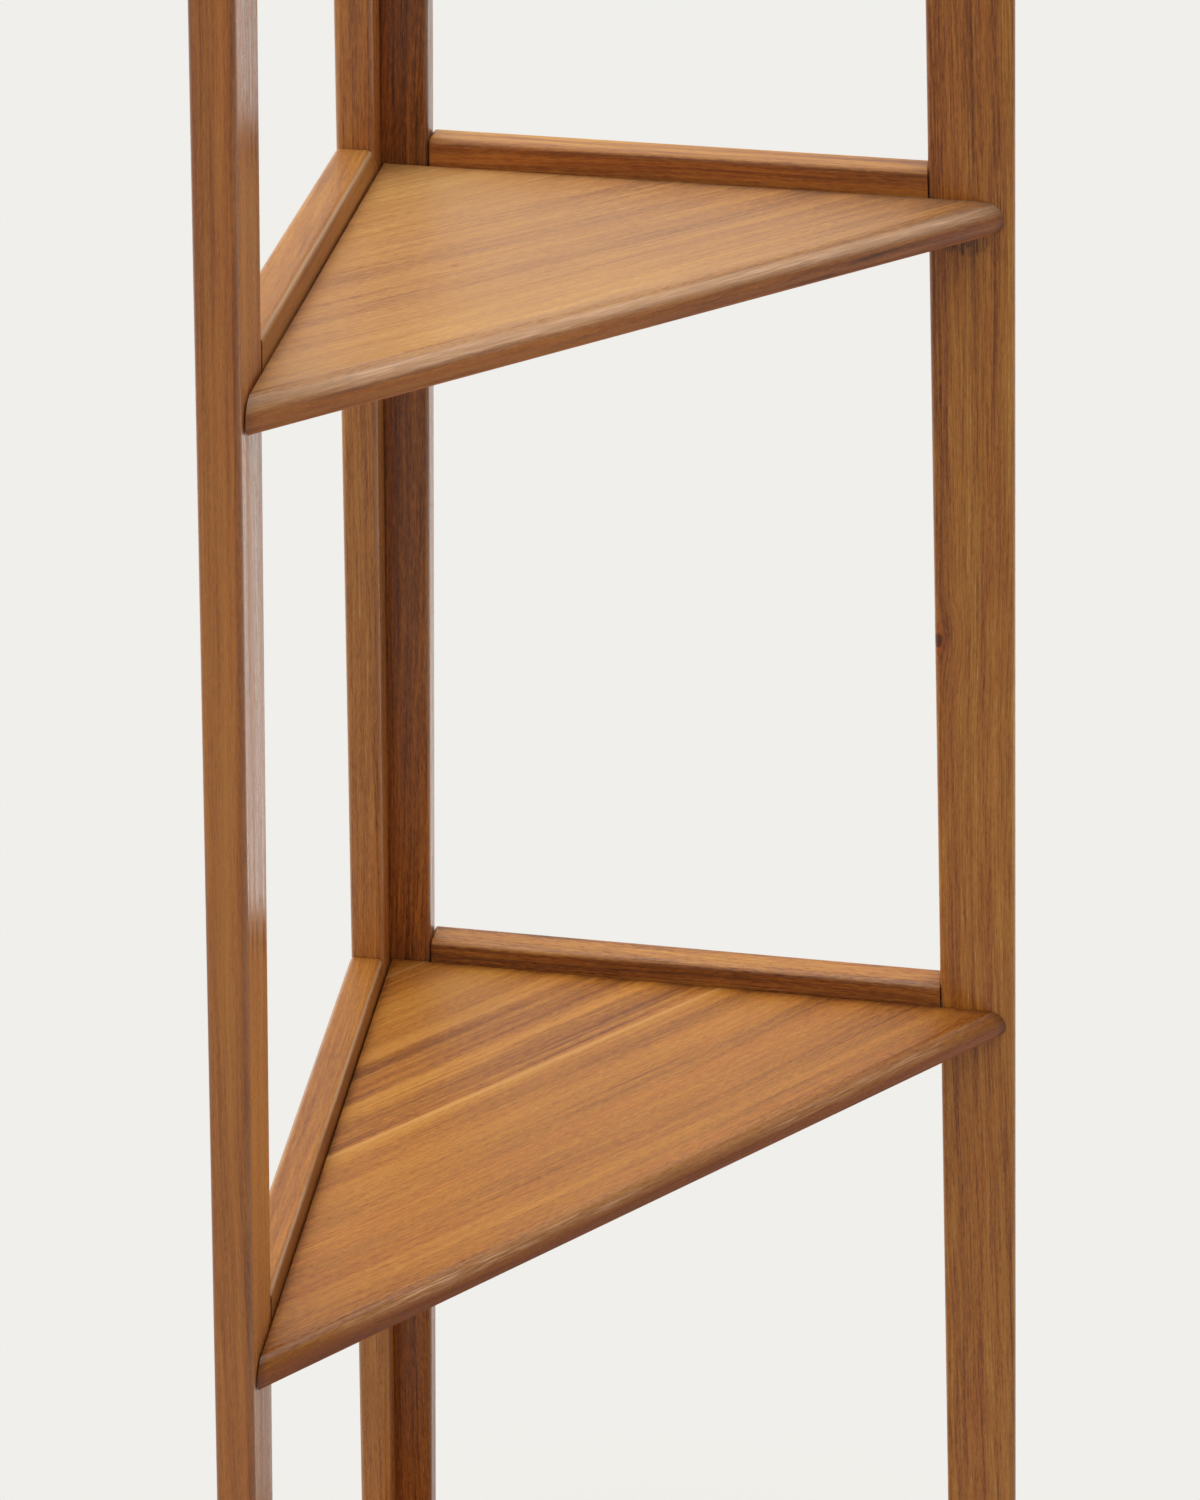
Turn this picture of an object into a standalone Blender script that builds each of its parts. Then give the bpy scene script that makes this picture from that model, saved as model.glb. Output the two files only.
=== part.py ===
"""Outdoor corner shelving unit in oiled hardwood, for Blender 4.5. Lengths are in metres and Z is up.

Two ladder frames meet at a right angle in the corner. Their front posts splay outwards towards the
floor, so each triangular shelf is larger than the one above it. Each piece is first made in the frame's
own coordinates: u runs along the wall from the corner, v from the wall into the room, z upwards.
"""

import math

import bmesh
import bpy
from mathutils import Matrix

# Ladder frames
FLOOR_REACH = 0.414
SPLAY = math.radians(5.47)
FRAME_THICKNESS = 0.018
POST_WIDTH = 0.040
CORNER_POST_WIDTH = 0.020
RAIL_HEIGHT = 0.030
ARRIS = 0.003
END_ARRIS = 0.0015

# Mortise and tenon joints
TENON_THICKNESS = 0.008
TENON_HEIGHT = 0.018
TENON_LENGTH = 0.014
CORNER_TENON_LENGTH = 0.010

# Shelves
SHELF_COUNT = 4
LOWEST_SHELF = 0.130
SHELF_SPACING = 0.450
SHELF_THICKNESS = 0.016
RAIL_LIP = 0.0127
POST_ABOVE_SHELF = 0.120
NOSE_INSET = 0.004
NOSE_TOP_WIDTH = 0.0075
NOSE_BOTTOM_WIDTH = 0.005
NOSE_EDGE_DROP = 0.0105
SHELF_EDGE_ROUND = 0.001

# Shelf screws, through the rails into the shelf edges
SCREW_RADIUS = 0.002
SCREW_HEAD_RADIUS = 0.004
SCREW_HEAD_HEIGHT = 0.0028
SCREW_BITE = 0.022
SCREW_RECESS = 0.005
SCREW_SOCKET_RADIUS = 0.0016
SCREW_FROM_POST = 0.055
SCREW_TIP = 0.004

# Corner bolts and their threaded inserts
BOLT_RADIUS = 0.003
BOLT_HEAD_RADIUS = 0.0052
BOLT_HEAD_HEIGHT = 0.0032
BOLT_BITE = 0.013
BOLT_RECESS = 0.0045
BOLT_SOCKET_RADIUS = 0.0023
BOLT_BELOW_SHELF = 0.075
BOLT_TIP = 0.0005
INSERT_WALL = 0.0014

# Glides under the posts
GLIDE_RADIUS = 0.0075
GLIDE_HEIGHT = 0.003
GLIDE_ROUND = 0.001
GLIDE_PIN_RADIUS = 0.002
GLIDE_PIN_LENGTH = 0.012

# Clearances
FIT = 0.0003
LEFT_SHELF_GAP = 0.0008

# Facets
ARRIS_SEGMENTS = 4
NOSE_SEGMENTS = 7
ROUND_SEGMENTS = 3
TURN_STEPS = 16
HEX_SIDES = 6

# Cutters reach this far past what they cut
PAST = 0.01
FAR = 1.0

# Shares of a head's height or of a radius
SOCKET_DEPTH_SHARE = 0.6
HEAD_DOME_SHARE = 0.7
HEAD_EDGE_SHARE = 0.45
TIP_TAPER_SHARE = 0.35

WOOD = {
    "left_front_post": (0.34, 0.13, 0.032),
    "left_back_post": (0.17, 0.060, 0.020),
    "right_back_post": (0.15, 0.050, 0.018),
    "right_front_post": (0.24, 0.088, 0.024),
    "left_rail": (0.30, 0.125, 0.038),
    "right_rail": (0.28, 0.105, 0.034),
    "shelf": (0.50, 0.25, 0.090),
}
STEEL = (0.55, 0.55, 0.53)
ZINC = (0.62, 0.58, 0.47)
BLACK_PLASTIC = (0.02, 0.02, 0.02)

POST_FOOT = GLIDE_HEIGHT + FIT
UNIT_HEIGHT = LOWEST_SHELF + (SHELF_COUNT - 1) * SHELF_SPACING + POST_ABOVE_SHELF


# Places that several pieces share

def reach_at(z):
    """How far the outer face of a front post is from the corner at height z."""
    return FLOOR_REACH - z * math.tan(SPLAY)


def post_span():
    """The width of a splayed post along the wall."""
    return POST_WIDTH / math.cos(SPLAY)


def shelf_top(level):
    return LOWEST_SHELF + level * SHELF_SPACING


def rail_middle(level):
    return shelf_top(level) + RAIL_LIP - RAIL_HEIGHT / 2


def screw_height(level):
    """The middle of what the rail and the shelf's edge have in common."""
    return shelf_top(level) - min(SHELF_THICKNESS, RAIL_HEIGHT - RAIL_LIP) / 2


def bolt_height(level):
    return shelf_top(level) - BOLT_BELOW_SHELF


def back_post_face(side):
    """The u of the side of a back post that its rails meet."""
    if side == "right":
        return POST_WIDTH
    return FRAME_THICKNESS + CORNER_POST_WIDTH


def back_tenon_length(side):
    if side == "right":
        return TENON_LENGTH
    return CORNER_TENON_LENGTH


# Collections, materials and finished meshes

def collection(name):
    made = bpy.data.collections.new(name)
    bpy.context.scene.collection.children.link(made)
    return made


def material(name, colour, roughness, metallic=0.0):
    made = bpy.data.materials.new(name)
    made.use_nodes = True
    shader = made.node_tree.nodes["Principled BSDF"]
    shader.inputs["Base Color"].default_value = (*colour, 1.0)
    shader.inputs["Roughness"].default_value = roughness
    shader.inputs["Metallic"].default_value = metallic
    made.diffuse_color = (*colour, 1.0)
    return made


def link_cutter(obj):
    CUTTERS.objects.link(obj)
    obj.hide_render = True
    obj.display_type = "WIRE"
    return obj


def finish(obj, name, surface):
    """A working object made into a sub-part under its own name."""
    CUTTERS.objects.unlink(obj)
    UNIT.objects.link(obj)
    obj.hide_render = False
    obj.display_type = "TEXTURED"
    obj.name = name
    obj.data.name = name
    obj.data.materials.clear()
    obj.data.materials.append(surface)
    return obj


def apply_modifiers(obj):
    bpy.context.view_layer.update()
    shape = obj.evaluated_get(bpy.context.evaluated_depsgraph_get())
    made = bpy.data.meshes.new_from_object(shape)
    obj.modifiers.clear()
    obj.data = made
    return obj


def combine(obj, other, operation):
    """A Boolean with another object, which it uses up."""
    step = obj.modifiers.new(operation.title(), "BOOLEAN")
    step.operation = operation
    step.solver = "EXACT"
    step.object = other
    apply_modifiers(obj)
    bpy.data.objects.remove(other)
    return obj


def cut(obj, *cutters):
    """All cutters taken out in one Boolean; they don't touch each other."""
    first = cutters[0]
    if len(cutters) > 1:
        mesh = bmesh.new()
        for cutter in cutters:
            mesh.from_mesh(cutter.data)
        mesh.to_mesh(first.data)
        mesh.free()
        for cutter in cutters[1:]:
            bpy.data.objects.remove(cutter)
    return combine(obj, first, "DIFFERENCE")


def moved(obj, matrix):
    """A mesh moved by a matrix, with its faces kept outwards where the matrix mirrors it."""
    obj.data.transform(matrix)
    if matrix.determinant() < 0:
        obj.data.flip_normals()
    return obj


# Simple shapes, each from a profile

def extruded(points, depth):
    """A closed outline in the XY plane, extruded from z = 0 up to depth."""
    curve = bpy.data.curves.new("outline", "CURVE")
    curve.dimensions = "2D"
    curve.fill_mode = "BOTH"
    curve.extrude = depth / 2
    line = curve.splines.new("POLY")
    line.points.add(len(points) - 1)
    for point, (x, y) in zip(line.points, points):
        point.co = (x, y, 0.0, 1.0)
    line.use_cyclic_u = True
    drawn = link_cutter(bpy.data.objects.new("outline", curve))
    bpy.context.view_layer.update()
    shape = drawn.evaluated_get(bpy.context.evaluated_depsgraph_get())
    mesh = bpy.data.meshes.new_from_object(shape)
    bpy.data.objects.remove(drawn)
    solid = link_cutter(bpy.data.objects.new("extruded", mesh))
    weld = solid.modifiers.new("Weld", "WELD")
    weld.merge_threshold = 0.00001
    apply_modifiers(solid)
    return moved(solid, Matrix.Translation((0.0, 0.0, depth / 2)))


def block(low, high):
    """A box between two corners, in frame coordinates."""
    outline = [(low[0], low[1]), (high[0], low[1]), (high[0], high[1]), (low[0], high[1])]
    return moved(extruded(outline, high[2] - low[2]), Matrix.Translation((0.0, 0.0, low[2])))


def quarter_arc(centre, width, height, start, segments):
    """Points of a quarter of an ellipse, counter-clockwise from the angle start."""
    found = []
    for step in range(segments + 1):
        angle = start + math.pi / 2 * step / segments
        found.append((centre[0] + width * math.cos(angle), centre[1] + height * math.sin(angle)))
    return found


def rounded_section(width, height):
    """A bar's cross-section about its middle, with its arrises rounded."""
    points = []
    for turn, (side, end) in enumerate(((1, 1), (-1, 1), (-1, -1), (1, -1))):
        centre = (side * (width / 2 - ARRIS), end * (height / 2 - ARRIS))
        points += quarter_arc(centre, ARRIS, ARRIS, turn * math.pi / 2, ARRIS_SEGMENTS)
    return points


def turned(profile):
    """A solid of revolution about Z from (radius, z) points that start and end on the axis."""
    mesh = bpy.data.meshes.new("profile")
    corners = [(radius, 0.0, z) for radius, z in profile]
    mesh.from_pydata(corners, [(i, i + 1) for i in range(len(corners) - 1)], [])
    solid = link_cutter(bpy.data.objects.new("turned", mesh))
    lathe = solid.modifiers.new("Screw", "SCREW")
    lathe.axis = "Z"
    lathe.steps = TURN_STEPS
    lathe.render_steps = TURN_STEPS
    lathe.use_merge_vertices = True
    lathe.merge_threshold = 0.00001
    lathe.use_normal_calculate = True
    apply_modifiers(solid)
    if volume_sign(solid.data) < 0:
        solid.data.flip_normals()
    return solid


def volume_sign(mesh):
    mesh.calc_loop_triangles()
    corners = [vertex.co for vertex in mesh.vertices]
    total = 0.0
    for triangle in mesh.loop_triangles:
        a, b, c = (corners[i] for i in triangle.vertices)
        total += a.dot(b.cross(c))
    return total


def hex_socket(radius, top, depth):
    """A six-sided cutter that goes down from top along Z."""
    corners = []
    for side in range(HEX_SIDES):
        angle = math.tau * side / HEX_SIDES
        corners.append((radius * math.cos(angle), radius * math.sin(angle)))
    return moved(extruded(corners, depth + PAST), Matrix.Translation((0.0, 0.0, top - depth)))


# From the frame's coordinates to the room's

def from_frame(side):
    """The right frame lies along X and the left one along Y; the unit's box is centred on the origin."""
    half = reach_at(POST_FOOT) / 2
    if side == "right":
        turn = Matrix(((1, 0, 0, -half), (0, -1, 0, half), (0, 0, 1, 0), (0, 0, 0, 1)))
    else:
        turn = Matrix(((0, 1, 0, -half), (-1, 0, 0, half), (0, 0, 1, 0), (0, 0, 0, 1)))
    return turn


def along_wall(z):
    """Turns a shape whose length is Z so that it runs along u, its section's X up and its Y along v."""
    return Matrix(((0, 0, 1, 0), (0, 1, 0, FRAME_THICKNESS / 2), (-1, 0, 0, z), (0, 0, 0, 1)))


def into_room(u, z):
    """Turns a shape whose length is Z so that it points from the room to the wall, over the face v = 0."""
    return Matrix(((1, 0, 0, u), (0, 0, -1, 0), (0, 1, 0, z), (0, 0, 0, 1)))


def leaning(z=0.0):
    """The lean of a front post about its outer face at the floor."""
    return Matrix.Translation((FLOOR_REACH, 0.0, z)) @ Matrix.Rotation(-SPLAY, 4, "Y")


# Rails and their tenons

def past_front_post(offset):
    """A cutter that takes all that lies outside the inner side of the front post, moved out by offset."""
    inner = -POST_WIDTH + offset
    return moved(block((inner, -FAR, -FAR), (FAR, FAR, 2 * FAR + UNIT_HEIGHT)), leaning())


def tenon_bar(side, level, grow):
    """The tenons of both ends as one bar through the rail, or with grow the mortises that take them."""
    half_height = TENON_HEIGHT / 2 + grow
    half_thickness = TENON_THICKNESS / 2 + grow
    middle = FRAME_THICKNESS / 2
    start = back_post_face(side) - back_tenon_length(side) - grow
    z = rail_middle(level)
    bar = block(
        (start, middle - half_thickness, z - half_height),
        (reach_at(z) + PAST, middle + half_thickness, z + half_height),
    )
    return cut(bar, past_front_post(TENON_LENGTH + grow))


def rail(side, level):
    start = back_post_face(side) + FIT
    bar = extruded(rounded_section(RAIL_HEIGHT, FRAME_THICKNESS), FLOOR_REACH)
    moved(bar, Matrix.Translation((start, 0.0, 0.0)) @ along_wall(rail_middle(level)))
    cut(bar, past_front_post(-FIT))
    combine(bar, tenon_bar(side, level, 0.0), "UNION")
    return cut(bar, *(screw(level, place, FIT) for place in screw_places(side, level)))


# Posts

def front_post():
    """A bar that leans outwards to the floor, with level ends."""
    length = (UNIT_HEIGHT + 2 * PAST) / math.cos(SPLAY) + FRAME_THICKNESS
    bar = extruded(rounded_section(POST_WIDTH, FRAME_THICKNESS), length)
    moved(bar, Matrix.Translation((-POST_WIDTH / 2, FRAME_THICKNESS / 2, -PAST)))
    moved(bar, leaning())
    cut(bar, block((-FAR, -FAR, -FAR), (FAR, FAR, POST_FOOT)))
    cut(bar, block((-FAR, -FAR, UNIT_HEIGHT), (FAR, FAR, UNIT_HEIGHT + FAR)))
    return ease_ends(bar)


def back_post(side):
    start = 0.0
    if side == "left":
        start = FRAME_THICKNESS + FIT
    width = back_post_face(side) - start
    bar = extruded(rounded_section(width, FRAME_THICKNESS), UNIT_HEIGHT - POST_FOOT)
    moved(bar, Matrix.Translation((start + width / 2, FRAME_THICKNESS / 2, POST_FOOT)))
    return ease_ends(bar)


def ease_ends(bar):
    """The sharp edges round both ends rounded over; the long arrises turn by less at each facet."""
    ease = bar.modifiers.new("Bevel", "BEVEL")
    ease.width = END_ARRIS
    ease.segments = 2
    ease.limit_method = "ANGLE"
    ease.angle_limit = math.radians(50)
    return apply_modifiers(bar)


def mortises(side):
    return [tenon_bar(side, level, FIT) for level in range(SHELF_COUNT)]


# Shelves

def nose_depth(level):
    """The distance from the room's corner to the shelf's front edge, square to that edge."""
    return (reach_at(shelf_top(level)) - NOSE_INSET + FRAME_THICKNESS) / math.sqrt(2)


def shelf_section(level):
    """The shelf seen along its front edge: a board with a bull nose, fuller below than above."""
    front = nose_depth(level)
    edge = SHELF_THICKNESS - NOSE_EDGE_DROP
    under = (front - NOSE_BOTTOM_WIDTH, edge)
    over = (front - NOSE_TOP_WIDTH, edge)
    points = [(0.0, 0.0)]
    points += quarter_arc(under, NOSE_BOTTOM_WIDTH, edge, -math.pi / 2, NOSE_SEGMENTS)
    points += quarter_arc(over, NOSE_TOP_WIDTH, NOSE_EDGE_DROP, 0.0, NOSE_SEGMENTS)[1:]
    points.append((0.0, SHELF_THICKNESS))
    return points


def room_corner(height):
    """A column that fills the room between the two frames, with its upper edges along them rounded."""
    left = FRAME_THICKNESS + LEFT_SHELF_GAP
    right = FRAME_THICKNESS + FIT
    column = block((left, right, 0.0), (left + FAR, right + FAR, height))
    ease = column.modifiers.new("Bevel", "BEVEL")
    ease.width = SHELF_EDGE_ROUND
    ease.segments = 2
    ease.limit_method = "ANGLE"
    return apply_modifiers(column)


def shelf(level):
    """The section drawn out along the front edge, then trimmed by the two frames."""
    board = extruded(shelf_section(level), 4 * FLOOR_REACH)
    upright = Matrix(((1, 0, 0, 0), (0, 0, -1, 2 * FLOOR_REACH), (0, 1, 0, 0), (0, 0, 0, 1)))
    moved(board, Matrix.Rotation(math.pi / 4, 4, "Z") @ upright)
    combine(board, room_corner(SHELF_THICKNESS), "INTERSECT")
    moved(board, Matrix.Translation((0.0, 0.0, shelf_top(level) - SHELF_THICKNESS)))
    holes = [screw(level, place, FIT) for place in screw_places("right", level)]
    to_left = Matrix(((0, 1, 0, 0), (1, 0, 0, 0), (0, 0, 1, 0), (0, 0, 0, 1)))
    holes += [moved(screw(level, place, FIT), to_left) for place in screw_places("left", level)]
    return cut(board, *holes)


# Screws, bolts and inserts

def screw_places(side, level):
    """Where the two screws of a rail are along the wall."""
    z = rail_middle(level)
    first = back_post_face(side) + SCREW_FROM_POST
    second = reach_at(z) - post_span() - SCREW_FROM_POST
    return (first, second)


def fastener_profile(radius, head_radius, head_height, recess, length, grow, tip):
    """A head that lies in a recess of the face z = 0 and a shank below it. With grow it is the hole."""
    top = -recess + head_height
    if grow:
        top = PAST
    seat = -recess - grow
    end = -length - grow
    return [
        (0.0, top),
        (head_radius + grow, top),
        (head_radius + grow, seat),
        (radius + grow, seat),
        (radius + grow, end + tip),
        ((radius + grow) * (1 - TIP_TAPER_SHARE), end),
        (0.0, end),
    ]


def domed_profile(radius, head_radius, head_height, recess, length, tip):
    """The fastener itself, its head with a rounded edge."""
    plain = fastener_profile(radius, head_radius, head_height, recess, length, 0.0, tip)
    top = plain[0][1]
    dome = head_height * HEAD_DOME_SHARE
    rim = head_radius * HEAD_EDGE_SHARE
    edge = quarter_arc((head_radius - rim, top - dome), rim, dome, 0.0, ROUND_SEGMENTS)
    return [plain[0]] + edge[::-1] + plain[2:]


def screw(level, place, grow):
    """A shelf screw, or with grow its hole, through the rail and into the shelf's edge."""
    size = (SCREW_RADIUS, SCREW_HEAD_RADIUS, SCREW_HEAD_HEIGHT, SCREW_RECESS)
    length = FRAME_THICKNESS + SCREW_BITE
    if grow:
        made = turned(fastener_profile(*size, length, grow, SCREW_TIP))
    else:
        made = turned(domed_profile(*size, length, SCREW_TIP))
        depth = SCREW_HEAD_HEIGHT * SOCKET_DEPTH_SHARE
        cut(made, hex_socket(SCREW_SOCKET_RADIUS, SCREW_HEAD_HEIGHT - SCREW_RECESS, depth))
    return moved(made, into_room(place, screw_height(level)))


def bolt(level, grow):
    """A corner bolt, or with grow its hole, through the right back post into the left one."""
    size = (BOLT_RADIUS, BOLT_HEAD_RADIUS, BOLT_HEAD_HEIGHT, BOLT_RECESS)
    length = FRAME_THICKNESS + FIT + BOLT_BITE
    if grow:
        made = turned(fastener_profile(*size, length, grow, BOLT_TIP))
    else:
        made = turned(domed_profile(*size, length, BOLT_TIP))
        depth = BOLT_HEAD_HEIGHT * SOCKET_DEPTH_SHARE
        cut(made, hex_socket(BOLT_SOCKET_RADIUS, BOLT_HEAD_HEIGHT - BOLT_RECESS, depth))
    return moved(made, into_room(FRAME_THICKNESS / 2, bolt_height(level)))


def insert(level, grow):
    """A threaded insert in the left back post, or with grow the hole that takes it."""
    start = -(FRAME_THICKNESS + FIT)
    outer = BOLT_RADIUS + FIT + INSERT_WALL + grow
    inner = BOLT_RADIUS + FIT
    end = start - BOLT_BITE
    if grow:
        profile = [(0.0, start + PAST), (outer, start + PAST), (outer, end - grow), (0.0, end - grow)]
    else:
        top = start - FIT
        profile = [(inner, top), (outer, top), (outer, end), (inner, end), (inner, top)]
    return moved(turned(profile), into_room(FRAME_THICKNESS / 2, bolt_height(level)))


# Glides

def glide(grow):
    """A round foot with a pin, about the origin, or with grow the hole for its pin."""
    top = GLIDE_HEIGHT + GLIDE_PIN_LENGTH + grow
    if grow:
        radius = GLIDE_PIN_RADIUS + grow
        return turned([(0.0, -PAST), (radius, -PAST), (radius, top), (0.0, top)])
    corner = (GLIDE_RADIUS - GLIDE_ROUND, GLIDE_ROUND)
    profile = [(0.0, 0.0)]
    profile += quarter_arc(corner, GLIDE_ROUND, GLIDE_ROUND, -math.pi / 2, ROUND_SEGMENTS)
    profile += [(GLIDE_RADIUS, GLIDE_HEIGHT), (GLIDE_PIN_RADIUS, GLIDE_HEIGHT)]
    profile += [(GLIDE_PIN_RADIUS, top), (0.0, top)]
    return turned(profile)


def glide_place(post):
    """The middle of a post's foot, as u along its own wall."""
    if post == "right_back_post":
        return POST_WIDTH / 2
    if post == "left_back_post":
        return FRAME_THICKNESS + CORNER_POST_WIDTH / 2
    return reach_at(POST_FOOT) - post_span() / 2


def put_glide(post, grow):
    return moved(glide(grow), Matrix.Translation((glide_place(post), FRAME_THICKNESS / 2, 0.0)))


# The whole unit

def build_posts():
    for side in ("left", "right"):
        name = f"{side}_front_post"
        post = cut(front_post(), put_glide(name, FIT), *mortises(side))
        moved(post, from_frame(side))
        finish(post, name, material(name, WOOD[name], 0.42))

    to_left = from_frame("left").inverted() @ from_frame("right")
    holes = [moved(insert(level, FIT), to_left) for level in range(SHELF_COUNT)]
    left = cut(back_post("left"), put_glide("left_back_post", FIT), *mortises("left"), *holes)
    moved(left, from_frame("left"))
    finish(left, "left_back_post", material("left_back_post", WOOD["left_back_post"], 0.45))

    holes = [bolt(level, FIT) for level in range(SHELF_COUNT)]
    right = cut(back_post("right"), put_glide("right_back_post", FIT), *mortises("right"), *holes)
    moved(right, from_frame("right"))
    finish(right, "right_back_post", material("right_back_post", WOOD["right_back_post"], 0.45))


def build_rails():
    for side in ("left", "right"):
        for level in range(SHELF_COUNT):
            name = f"{side}_rail_{level + 1}"
            made = moved(rail(side, level), from_frame(side))
            finish(made, name, material(name, WOOD[f"{side}_rail"], 0.4))


def build_shelves():
    for level in range(SHELF_COUNT):
        name = f"shelf_{level + 1}"
        made = moved(shelf(level), from_frame("right"))
        finish(made, name, material(name, WOOD["shelf"], 0.38))


def build_screws():
    for side in ("left", "right"):
        for level in range(SHELF_COUNT):
            for place, where in zip(screw_places(side, level), ("back", "front")):
                name = f"{side}_screw_{level + 1}_{where}"
                made = moved(screw(level, place, 0.0), from_frame(side))
                finish(made, name, material(name, STEEL, 0.3, 1.0))


def build_corner_bolts():
    for level in range(SHELF_COUNT):
        name = f"corner_bolt_{level + 1}"
        made = moved(bolt(level, 0.0), from_frame("right"))
        finish(made, name, material(name, STEEL, 0.3, 1.0))
        name = f"corner_insert_{level + 1}"
        made = moved(insert(level, 0.0), from_frame("right"))
        finish(made, name, material(name, ZINC, 0.4, 1.0))


def build_glides():
    for side in ("left", "right"):
        for row in ("back", "front"):
            name = f"{side}_{row}_glide"
            made = moved(put_glide(f"{side}_{row}_post", 0.0), from_frame(side))
            finish(made, name, material(name, BLACK_PLASTIC, 0.5))


for thing in list(bpy.data.objects):
    bpy.data.objects.remove(thing)
UNIT = collection("corner_shelving_unit")
CUTTERS = collection("cutters")
build_posts()
build_rails()
build_shelves()
build_screws()
build_corner_bolts()
build_glides()
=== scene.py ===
"""The looks of the outdoor corner shelving unit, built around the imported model.

Every wooden piece is modelled again over its solid, with finer arrises and grain that runs along it.
The frame of the photograph is 1200 x 1500 pixels. Lengths are in metres and Z is up.
"""

import math

import bmesh
import bpy
from bpy.props import FloatProperty, FloatVectorProperty, PointerProperty
from mathutils import Matrix, Vector


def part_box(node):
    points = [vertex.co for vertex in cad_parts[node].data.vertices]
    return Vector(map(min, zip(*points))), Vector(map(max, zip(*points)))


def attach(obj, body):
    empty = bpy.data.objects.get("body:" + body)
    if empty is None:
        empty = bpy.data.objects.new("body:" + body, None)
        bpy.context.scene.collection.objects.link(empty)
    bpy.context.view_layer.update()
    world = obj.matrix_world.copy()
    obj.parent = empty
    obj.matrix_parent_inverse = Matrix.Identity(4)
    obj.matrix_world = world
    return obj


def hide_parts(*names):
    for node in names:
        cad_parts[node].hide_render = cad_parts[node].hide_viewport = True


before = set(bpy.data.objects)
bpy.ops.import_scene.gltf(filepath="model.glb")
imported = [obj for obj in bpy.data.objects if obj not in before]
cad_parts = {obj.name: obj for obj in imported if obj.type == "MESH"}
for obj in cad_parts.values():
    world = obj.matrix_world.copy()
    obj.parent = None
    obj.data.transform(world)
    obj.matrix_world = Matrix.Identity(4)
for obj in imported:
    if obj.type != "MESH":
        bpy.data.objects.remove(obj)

bl_info = {
    "name": "Corner shelving unit",
    "version": (1, 0, 0),
    "blender": (4, 5, 0),
    "location": "3D View > Sidebar > Shelving",
    "description": "Builds the pieces, finishes and studio of an oiled hardwood corner shelving unit",
    "category": "Object",
}

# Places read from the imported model

SIDES = ("left", "right")
LEVELS = (1, 2, 3, 4)
BACK_LOW, BACK_HIGH = (Vector(corner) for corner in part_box("right_back_post"))
CORNER = Vector((BACK_LOW.x, BACK_HIGH.y, 0.0))
THICK = BACK_HIGH.y - BACK_LOW.y
POST_WIDTH = BACK_HIGH.x - BACK_LOW.x
POST_FOOT = BACK_LOW.z
POST_TOP = BACK_HIGH.z
LEFT_BACK_LOW, LEFT_BACK_HIGH = (Vector(corner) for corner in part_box("left_back_post"))
UP = Vector((0.0, 0.0, 1.0))
ALONG = {"right": Vector((1.0, 0.0, 0.0)), "left": Vector((0.0, -1.0, 0.0))}
INTO_ROOM = {"right": Vector((0.0, -1.0, 0.0)), "left": Vector((1.0, 0.0, 0.0))}


# Settings that a user would change

class ShapeSettings(bpy.types.PropertyGroup):
    splay: FloatProperty(
        name="Splay", description="How far the front posts lean out of the upright",
        default=math.radians(5.47), subtype="ANGLE",
    )
    floor_reach: FloatProperty(
        name="Floor reach", description="From the corner to the outer face of a front post, at the floor",
        default=0.414, unit="LENGTH",
    )
    arris: FloatProperty(
        name="Arris radius", description="Rounding of the long edges of posts and rails",
        default=0.003, unit="LENGTH",
    )
    end_arris: FloatProperty(
        name="End arris", description="Rounding of the edges round a post's ends",
        default=0.0015, unit="LENGTH",
    )
    fit: FloatProperty(
        name="Fit", description="Clearance between pieces that touch",
        default=0.0003, unit="LENGTH",
    )
    nose_inset: FloatProperty(
        name="Nose inset", description="From a shelf's nose to the outer face of the post",
        default=0.004, unit="LENGTH",
    )
    nose_over: FloatVectorProperty(
        name="Nose, upper curve", description="Width and height of the curve over the nose's edge",
        default=(0.0075, 0.0105), size=2, unit="LENGTH",
    )
    nose_under: FloatVectorProperty(
        name="Nose, lower curve", description="Width and height of the curve under the nose's edge",
        default=(0.005, 0.0055), size=2, unit="LENGTH",
    )


class WoodSettings(bpy.types.PropertyGroup):
    deep: FloatVectorProperty(
        name="Deep brown", description="The darkest streaks, vessels and knots",
        default=(0.080, 0.024, 0.008), size=3, subtype="COLOR",
    )
    brown: FloatVectorProperty(
        name="Red brown", description="The darker bands of the heartwood",
        default=(0.260, 0.078, 0.015), size=3, subtype="COLOR",
    )
    orange: FloatVectorProperty(
        name="Orange brown", description="The middle tone of the oiled wood",
        default=(0.460, 0.163, 0.027), size=3, subtype="COLOR",
    )
    gold: FloatVectorProperty(
        name="Golden brown", description="The paler bands",
        default=(0.610, 0.262, 0.050), size=3, subtype="COLOR",
    )
    pale: FloatVectorProperty(
        name="Pale", description="The palest wood, as along a glue line",
        default=(0.740, 0.420, 0.130), size=3, subtype="COLOR",
    )
    roughness: FloatProperty(
        name="Roughness", description="Middle roughness of the oiled surface",
        default=0.30, subtype="FACTOR",
    )


class StudioSettings(bpy.types.PropertyGroup):
    pale: FloatVectorProperty(
        name="Backdrop", description="Colour of floor and backdrop",
        default=(0.871, 0.863, 0.831), size=3, subtype="COLOR",
    )
    around: FloatProperty(
        name="Room", description="Strength of the light from all round", default=0.16,
    )
    left: FloatProperty(
        name="Left light", description="How much stronger the light from the left is", default=0.58,
    )
    behind: FloatProperty(
        name="Backdrop light", description="How much stronger the light from the backdrop is", default=0.62,
    )
    above: FloatProperty(
        name="Overhead light", description="How much stronger the soft light overhead is", default=2.2,
    )
    near_floor: FloatProperty(
        name="Front floor", description="Strength of the light from the floor in front", default=0.52,
    )


def shape():
    return bpy.context.scene.shelving_shape


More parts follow.
